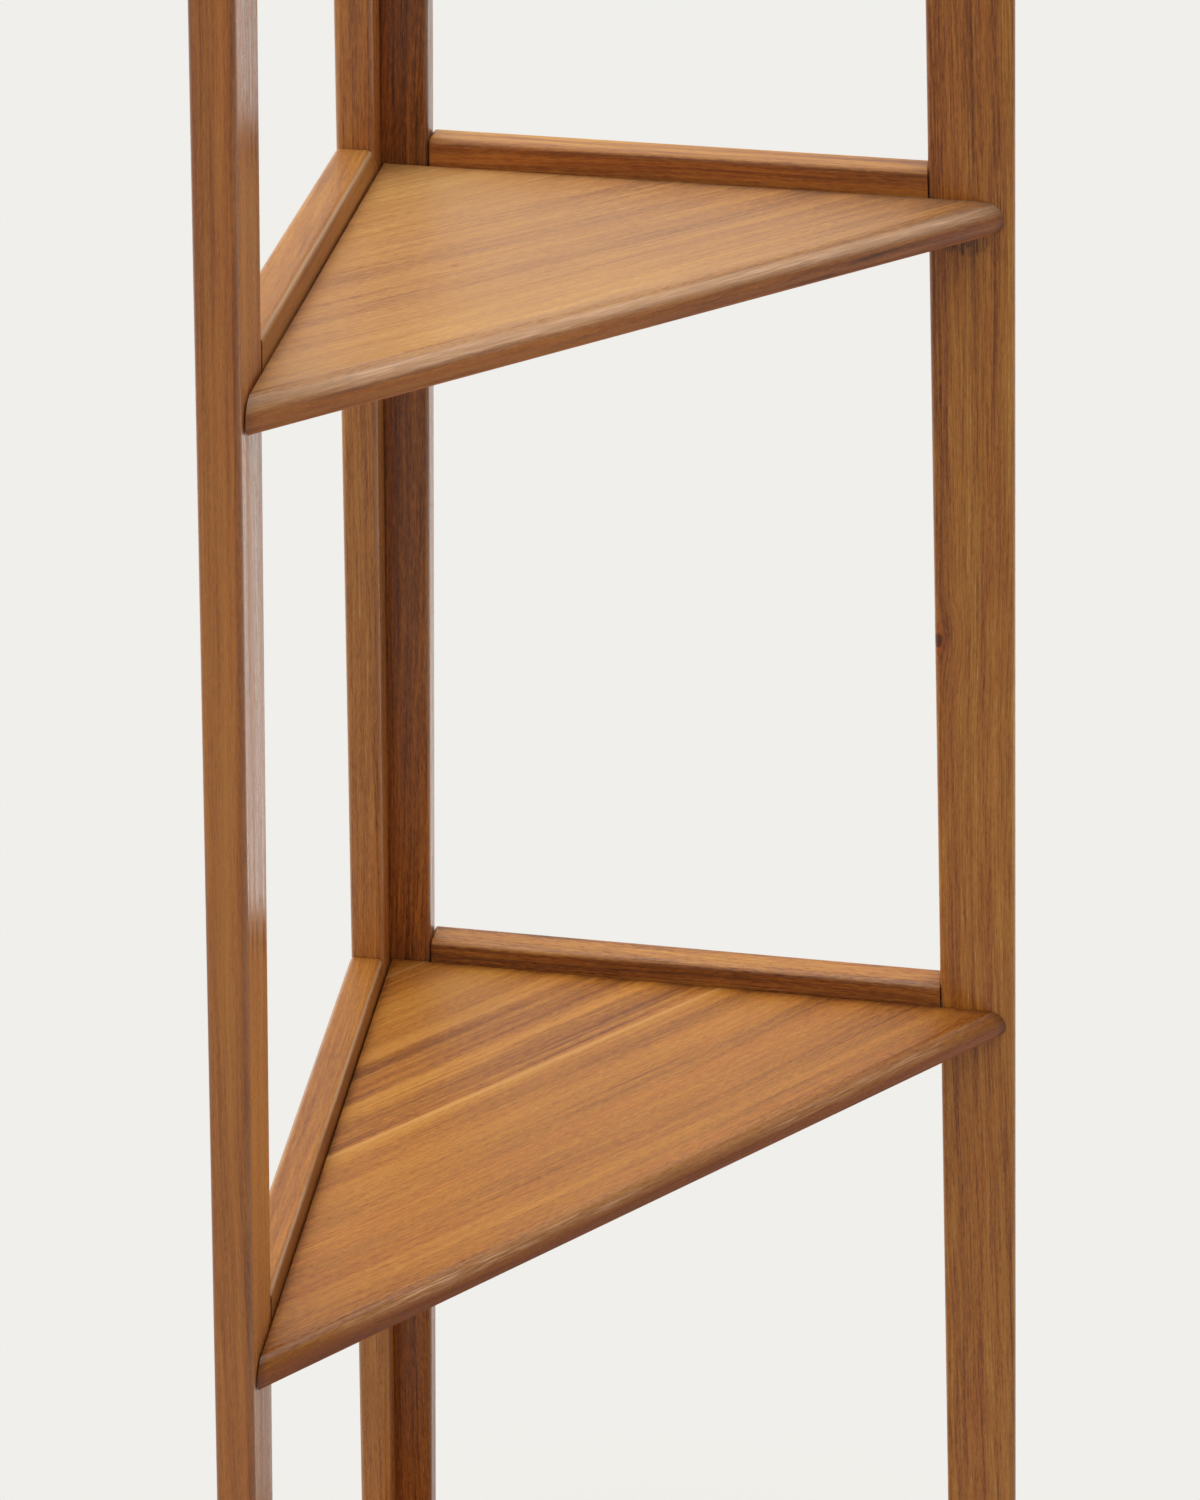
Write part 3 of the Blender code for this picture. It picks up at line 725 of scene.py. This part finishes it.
def round_over(radius, segments):
    bpy.ops.mesh.bevel(offset=radius, offset_type="OFFSET", segments=segments, profile=0.5, affect="EDGES")


def place(piece, matrix):
    """Puts the piece's mesh in its place and leaves the object at the origin."""
    bpy.ops.object.mode_set(mode="OBJECT")
    piece.matrix_world = matrix
    bpy.ops.object.transform_apply(location=True, rotation=True, scale=True)
    bpy.ops.object.mode_set(mode="EDIT")


def trim(point, outward):
    """Cuts off all that lies outside a plane and closes the cut."""
    bpy.ops.mesh.select_all(action="SELECT")
    bpy.ops.mesh.bisect(plane_co=point, plane_no=outward, use_fill=True, clear_outer=True)


def on_plane(point, normal, within=1e-5):
    return lambda vertex: abs((vertex.co - point).dot(normal)) < within


def edges_round(piece, point, normal):
    """Selects the edges that lie wholly in a plane."""
    near = on_plane(point, normal)
    return pick(piece, "edges", lambda edge: all(near(vertex) for vertex in edge.verts))


def hold_flats(piece, normals, smallest):
    """Adds a narrow border inside each large flat face, so that smooth shading stays flat there."""
    def flat(face):
        return face.calc_area() > smallest and any(abs(face.normal.dot(way)) > 0.9999 for way in normals)

    if pick(piece, "faces", flat):
        bpy.ops.mesh.inset(thickness=FLAT_BORDER, use_individual=True, use_even_offset=True)


def finish_piece(piece, node, material):
    bpy.ops.object.mode_set(mode="OBJECT")
    bpy.ops.object.shade_smooth_by_angle(angle=math.radians(35))
    dress(piece, material)
    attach(piece, "root")
    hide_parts(node)
    return piece


def drill(piece, cutters):
    """Booleans with cutters, which are then removed."""
    bpy.ops.object.mode_set(mode="OBJECT")
    for cutter in cutters:
        step = piece.modifiers.new("Hole", "BOOLEAN")
        step.operation = "DIFFERENCE"
        step.solver = "EXACT"
        step.object = cutter
        bpy.context.view_layer.objects.active = piece
        bpy.ops.object.modifier_apply(modifier=step.name)
        bpy.data.objects.remove(cutter)
    bpy.ops.object.select_all(action="DESELECT")
    piece.select_set(True)
    bpy.context.view_layer.objects.active = piece
    bpy.ops.object.mode_set(mode="EDIT")


def hole(centre, direction, radius, depth):
    """A round cutter that starts outside a face at centre and goes in along direction."""
    bpy.ops.object.mode_set(mode="OBJECT")
    bpy.ops.object.select_all(action="DESELECT")
    turn = direction.to_track_quat("Z", "Y").to_euler()
    reach = depth + CUTTER_SPARE
    middle = centre + direction * (depth - reach / 2)
    bpy.ops.mesh.primitive_cylinder_add(
        vertices=CUTTER_SIDES, radius=radius, depth=reach, location=middle, rotation=turn,
    )
    return bpy.context.object


def bar(name, start, end, across, width, thick):
    """A square-ended bar with rounded arrises from start to end, in edit mode, and its own axes."""
    along = (end - start).normalized()
    through = along.cross(across)
    piece = start_block(name, (width, thick, (end - start).length))

    def long_edge(edge):
        way = (edge.verts[0].co - edge.verts[1].co).normalized()
        return abs(way.dot(UP)) > 0.999

    pick(piece, "edges", long_edge)
    round_over(shape().arris, LONG_SEGMENTS)
    axes = (across, through, along)
    matrix = Matrix(axes).transposed().to_4x4()
    matrix.translation = (start + end) / 2
    place(piece, matrix)
    return piece, axes


# Front posts

def lean(side):
    """The direction of a front post, upwards, and the direction across it, away from the corner."""
    splay = shape().splay
    along = ALONG[side]
    return UP * math.cos(splay) - along * math.sin(splay), along * math.cos(splay) + UP * math.sin(splay)


def front_post(side):
    upwards, across = lean(side)
    foot = CORNER + ALONG[side] * shape().floor_reach
    middle = foot - across * (POST_WIDTH / 2) + INTO_ROOM[side] * (THICK / 2)
    spare = 0.05
    length = (POST_TOP + spare) / math.cos(shape().splay)
    name = f"{side}_front_post_wood"
    piece, axes = bar(name, middle - upwards * spare, middle + upwards * length, across, POST_WIDTH, THICK)
    ends = ((Vector((0.0, 0.0, POST_FOOT)), -UP), (Vector((0.0, 0.0, POST_TOP)), UP))
    for point, outward in ends:
        trim(point, outward)
        edges_round(piece, point, outward)
        round_over(shape().end_arris, END_SEGMENTS)
    hold_flats(piece, (axes[0], axes[1]), SMALLEST_POST_FLAT)
    material = hardwood(f"{side}_front_post", axes, middle, (POST_WIDTH / 2, THICK / 2))
    return finish_piece(piece, f"{side}_front_post", material)


class SHELVING_OT_front_posts(bpy.types.Operator):
    """Model the two splayed front posts."""
    bl_idname = "shelving.front_posts"
    bl_label = "Front posts"

    def execute(self, context):
        front_post("left")
        front_post("right")
        return {"FINISHED"}


# Back posts

def back_post(side, low, high, recesses):
    middle = (low + high) / 2
    start = Vector((middle.x, middle.y, low.z))
    end = Vector((middle.x, middle.y, high.z))
    across = ALONG[side]
    width = abs((high - low).dot(across))
    name = f"{side}_back_post_wood"
    piece, axes = bar(name, start, end, across, width, THICK)
    for point, outward in ((start, -UP), (end, UP)):
        edges_round(piece, point, outward)
        round_over(shape().end_arris, END_SEGMENTS)
    hold_flats(piece, (axes[0], axes[1]), SMALLEST_POST_FLAT)
    if recesses:
        drill(piece, recesses)
    material = hardwood(f"{side}_back_post", axes, start, (width / 2, THICK / 2))
    return finish_piece(piece, f"{side}_back_post", material)


def recess_over(node, into):
    """A cutter for the recess round a screw's or bolt's head, down to the seat of the head."""
    low, high = (Vector(corner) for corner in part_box(node))
    middle = (low + high) / 2
    wide = min(high - low)
    outer = abs((high - low).dot(into)) / 2
    head = middle - into * outer
    face = head - into * HEAD_CLEAR
    return hole(face, into, wide / 2 + HEAD_PLAY, HEAD_CLEAR + HEAD_SEAT)


class SHELVING_OT_back_posts(bpy.types.Operator):
    """Model the two back posts that meet in the corner."""
    bl_idname = "shelving.back_posts"
    bl_label = "Back posts"

    def execute(self, context):
        back_post("left", LEFT_BACK_LOW, LEFT_BACK_HIGH, [])
        recesses = [recess_over(f"corner_bolt_{level}", INTO_ROOM["right"]) for level in LEVELS]
        back_post("right", BACK_LOW, BACK_HIGH, recesses)
        return {"FINISHED"}


# Rails

def rail(side, level):
    low, high = (Vector(corner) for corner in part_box(f"{side}_rail_{level}"))
    along = ALONG[side]
    behind = POST_WIDTH if side == "right" else abs((LEFT_BACK_LOW - CORNER).dot(along))
    height = (low.z + high.z) / 2
    through = INTO_ROOM[side] * (THICK / 2)
    start = CORNER + along * (behind + shape().fit) + through + UP * height
    end = CORNER + along * shape().floor_reach + through + UP * height
    name = f"{side}_rail_{level}_wood"
    piece, axes = bar(name, start, end, UP, high.z - low.z, THICK)
    upwards, across = lean(side)
    inner = CORNER + along * shape().floor_reach - across * (POST_WIDTH + shape().fit)
    trim(inner, across)
    edges_round(piece, start, along)
    round_over(shape().end_arris, END_SEGMENTS)
    hold_flats(piece, (axes[0], axes[1]), SMALLEST_RAIL_FLAT)
    recesses = [recess_over(f"{side}_screw_{level}_{where}", INTO_ROOM[side]) for where in ("back", "front")]
    drill(piece, recesses)
    material = hardwood(f"{side}_rail_{level}", axes, start, ((high.z - low.z) / 2, THICK / 2))
    return finish_piece(piece, f"{side}_rail_{level}", material)


class SHELVING_OT_rails(bpy.types.Operator):
    """Model the rails of both frames, with a recess for each shelf screw."""
    bl_idname = "shelving.rails"
    bl_label = "Rails"

    def execute(self, context):
        for side in SIDES:
            for level in LEVELS:
                rail(side, level)
        return {"FINISHED"}


# Shelves

# How long a board is before its tips are cut, by its depth, and the segments of each curve of its nose
BOARD_SHARE = 2.2
NOSE_SEGMENTS = 10

# The arris along the frames, the shortest edge that gets one, and how near a place counts as on it
SHELF_ARRIS = 0.0008
SHORTEST_ARRIS = 0.02
NEAR = 1e-6


def shelf(level):
    low, high = (Vector(corner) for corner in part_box(f"shelf_{level}"))
    top = high.z
    thick = high.z - low.z
    reach = shape().floor_reach - top * math.tan(shape().splay)
    depth = (reach - shape().nose_inset + THICK) / math.sqrt(2)
    name = f"shelf_{level}_wood"
    piece = start_block(name, (BOARD_SHARE * depth, depth, thick))
    front = Vector((0.0, -depth / 2, 0.0))
    half = thick / 2
    over, under = shape().nose_over, shape().nose_under

    def nose_edge(sign):
        return lambda edge: all(
            abs(vertex.co.y - front.y) < NEAR and vertex.co.z * sign > half - NEAR for vertex in edge.verts
        )

    for sign, (width, drop) in ((1, over), (-1, under)):
        pick(piece, "edges", nose_edge(sign))
        round_over(width, NOSE_SEGMENTS)
        pick(
            piece, "verts",
            lambda vertex: vertex.co.y < front.y + width + NEAR and vertex.co.z * sign > half - width - NEAR,
        )
        centre = (0.0, 0.0, sign * half)
        bpy.ops.transform.resize(value=(1.0, 1.0, drop / width), center_override=centre)
    pick(piece, "verts", lambda vertex: True)
    bpy.ops.mesh.remove_doubles(threshold=1e-5)
    along = Vector((1.0, 1.0, 0.0)).normalized()
    inward = Vector((-1.0, 1.0, 0.0)).normalized()
    matrix = Matrix((along, inward, UP)).transposed().to_4x4()
    matrix.translation = CORNER - inward * (depth / 2) + UP * (top - half)
    place(piece, matrix)
    left = Vector((low.x, 0.0, 0.0))
    right = Vector((0.0, high.y, 0.0))
    for point, outward in ((left, -INTO_ROOM["left"]), (right, -INTO_ROOM["right"])):
        trim(point, outward)

    def frame_edge(edge):
        both = all(on_plane(left, INTO_ROOM["left"])(v) for v in edge.verts)
        both = both or all(on_plane(right, INTO_ROOM["right"])(v) for v in edge.verts)
        level_edge = abs(edge.verts[0].co.z - edge.verts[1].co.z) < NEAR
        return both and level_edge and edge.calc_length() > SHORTEST_ARRIS

    pick(piece, "edges", frame_edge)
    round_over(SHELF_ARRIS, END_SEGMENTS)
    hold_flats(piece, (UP, INTO_ROOM["left"], INTO_ROOM["right"]), SMALLEST_SHELF_FLAT)
    axes = (inward, UP, along)
    middle = CORNER - inward * depth + UP * top
    material = hardwood(f"shelf_{level}", axes, middle, reach=depth - THICK * math.sqrt(2))
    return finish_piece(piece, f"shelf_{level}", material)


class SHELVING_OT_shelves(bpy.types.Operator):
    """Model the triangular shelves with their bull-nosed front edges."""
    bl_idname = "shelving.shelves"
    bl_label = "Shelves"

    def execute(self, context):
        for level in LEVELS:
            shelf(level)
        return {"FINISHED"}


# Fasteners and glides

class SHELVING_OT_fasteners(bpy.types.Operator):
    """Give the screws, bolts and inserts their metal finishes."""
    bl_idname = "shelving.fasteners"
    bl_label = "Fasteners"

    def execute(self, context):
        stainless = steel("stainless_steel", (0.55, 0.55, 0.53), 0.32)
        plated = steel("plated_steel", (0.62, 0.58, 0.47), 0.38)
        for name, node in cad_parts.items():
            if "screw" in name or "bolt" in name:
                dress(node, stainless)
            elif "insert" in name:
                dress(node, plated)
        return {"FINISHED"}


class SHELVING_OT_glides(bpy.types.Operator):
    """Give the glides under the posts their plastic."""
    bl_idname = "shelving.glides"
    bl_label = "Glides"

    def execute(self, context):
        plastic = moulded_plastic("glide_plastic", (0.02, 0.02, 0.02))
        for name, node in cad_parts.items():
            if name.endswith("glide"):
                dress(node, plastic)
        return {"FINISHED"}


# Camera, light and stage

# The photograph's camera: metres from the corner, radians, and a focal length in the photograph's pixels
CAMERA_FROM_CORNER = Vector((0.26934, -1.34150, 1.48009))
CAMERA_PITCH = 0.51819
CAMERA_YAW = -0.10497
CAMERA_ROLL = 0.03016
FOCAL_PIXELS = 2944.86
PHOTO_HEIGHT = 1500.0
SENSOR = 36.0

# Where each light of the room starts and is full, by the direction it comes from
FROM_BACKDROP = (0.15, 0.65)
FROM_ABOVE = (0.66, 0.88)
FROM_LEFT = (0.0, 0.6)

# The floor, in metres: where its shadows fade, and how it is lit from the front to the back
FLOOR_SIZE = 30.0
SHADOWS_FADE = (0.2, 0.55)
FLOOR_BRIGHTENS = (0.0, 1.2)
FAR_FLOOR = 1.40


def add_camera():
    """The photograph's camera, from its place against the corner and its three angles."""
    ahead = Vector((
        math.sin(CAMERA_YAW) * math.cos(CAMERA_PITCH),
        math.cos(CAMERA_YAW) * math.cos(CAMERA_PITCH),
        -math.sin(CAMERA_PITCH),
    ))
    right = Vector((math.cos(CAMERA_YAW), -math.sin(CAMERA_YAW), 0.0))
    above = right.cross(ahead)
    rolled_right = right * math.cos(CAMERA_ROLL) + above * math.sin(CAMERA_ROLL)
    rolled_above = above * math.cos(CAMERA_ROLL) - right * math.sin(CAMERA_ROLL)
    data = bpy.data.cameras.new("camera")
    data.sensor_width = SENSOR
    data.lens = FOCAL_PIXELS * SENSOR / PHOTO_HEIGHT
    data.clip_end = 50.0
    camera = bpy.data.objects.new("camera", data)
    bpy.context.scene.collection.objects.link(camera)
    matrix = Matrix((rolled_right, rolled_above, -ahead)).transposed().to_4x4()
    matrix.translation = CORNER + CAMERA_FROM_CORNER
    camera.matrix_world = matrix
    bpy.context.scene.camera = camera


def add_world(studio):
    """Soft light from all round, stronger from the backdrop and from above."""
    world = bpy.data.worlds.new("studio")
    bpy.context.scene.world = world
    graph = Graph(world)
    x, y, z = graph.parts_of(graph.node("ShaderNodeTexCoord", output=0))
    strength = studio.around + graph.smooth(y, *FROM_BACKDROP) * studio.behind
    strength = strength + graph.smooth(z, *FROM_ABOVE) * studio.above
    strength = strength + graph.smooth(0.0 - x, *FROM_LEFT) * studio.left
    soft = graph.node("ShaderNodeBackground", None, {"Color": (1.0, 0.99, 0.97, 1.0), "Strength": strength})
    seen = graph.node("ShaderNodeBackground", None, {"Color": (*studio.pale, 1.0)})
    seen_first = graph.node("ShaderNodeLightPath", output=0)
    mixed = graph.node("ShaderNodeMixShader", None, {0: seen_first, 1: soft, 2: seen})
    graph.feed(graph.tree.nodes["World Output"].inputs["Surface"], mixed)


def add_floor(studio):
    """A pale floor: shadows lie on it near the feet, and further off it has the backdrop's plain colour."""
    bpy.ops.object.select_all(action="DESELECT")
    bpy.ops.mesh.primitive_plane_add(size=FLOOR_SIZE, location=(0.0, 0.0, 0.0))
    floor = bpy.context.object
    floor.name = "floor"
    graph = new_finish("floor")
    place = graph.node("ShaderNodeTexCoord", output=3)
    _, y, _ = graph.parts_of(place)
    away = graph.node("ShaderNodeVectorMath", {"operation": "LENGTH"}, {0: place}, output=1)
    far = graph.smooth(away, *SHADOWS_FADE)
    graph.shader.inputs["Base Color"].default_value = (*(part * 0.8 for part in studio.pale), 1.0)
    graph.shader.inputs["Roughness"].default_value = 0.9
    plain = graph.node("ShaderNodeEmission", None, {"Color": (*studio.pale, 1.0)})
    shadowed = Term(graph, graph.shader.outputs[0])
    seen = graph.node("ShaderNodeMixShader", None, {0: far, 1: shadowed, 2: plain})
    lit = studio.near_floor + graph.smooth(y, *FLOOR_BRIGHTENS) * (FAR_FLOOR - studio.near_floor)
    unseen = graph.node("ShaderNodeEmission", None, {"Color": (*studio.pale, 1.0), "Strength": lit})
    first = graph.node("ShaderNodeLightPath", output=0)
    mixed = graph.node("ShaderNodeMixShader", None, {0: first, 1: unseen, 2: seen})
    graph.feed(graph.tree.nodes["Material Output"].inputs["Surface"], mixed)
    dress(floor, graph.owner)


class SHELVING_OT_stage(bpy.types.Operator):
    """Add the floor, the soft light and the photograph's camera."""
    bl_idname = "shelving.stage"
    bl_label = "Studio"

    def execute(self, context):
        studio = context.scene.shelving_studio
        context.scene.view_settings.view_transform = "Standard"
        add_world(studio)
        add_floor(studio)
        add_camera()
        return {"FINISHED"}


# The add-on

class SHELVING_PT_panel(bpy.types.Panel):
    """Lists the pieces of the shelving unit."""
    bl_label = "Corner shelving unit"
    bl_idname = "SHELVING_PT_panel"
    bl_space_type = "VIEW_3D"
    bl_region_type = "UI"
    bl_category = "Shelving"

    def draw(self, context):
        for operator in OPERATORS:
            self.layout.operator(operator.bl_idname)
        for name in ("shelving_shape", "shelving_wood", "shelving_studio"):
            settings = getattr(context.scene, name)
            for setting in settings.bl_rna.properties.keys():
                if setting not in ("rna_type", "name"):
                    self.layout.prop(settings, setting)


SETTINGS = {
    "shelving_shape": ShapeSettings,
    "shelving_wood": WoodSettings,
    "shelving_studio": StudioSettings,
}
OPERATORS = (
    SHELVING_OT_front_posts,
    SHELVING_OT_back_posts,
    SHELVING_OT_rails,
    SHELVING_OT_shelves,
    SHELVING_OT_fasteners,
    SHELVING_OT_glides,
    SHELVING_OT_stage,
)


def register():
    for kind in (*SETTINGS.values(), *OPERATORS, SHELVING_PT_panel):
        bpy.utils.register_class(kind)
    for name, kind in SETTINGS.items():
        setattr(bpy.types.Scene, name, PointerProperty(type=kind))


def unregister():
    for name in SETTINGS:
        delattr(bpy.types.Scene, name)
    for kind in reversed((*SETTINGS.values(), *OPERATORS, SHELVING_PT_panel)):
        bpy.utils.unregister_class(kind)


def plain(bounds):
    return [[float(value) for value in corner] for corner in bounds]


def main():
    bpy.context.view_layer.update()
    register()
    bpy.ops.shelving.front_posts()
    bpy.ops.shelving.back_posts()
    bpy.ops.shelving.rails()
    bpy.ops.shelving.shelves()
    bpy.ops.shelving.fasteners()
    bpy.ops.shelving.glides()
    bpy.ops.shelving.stage()


if __name__ == "__main__":
    main()
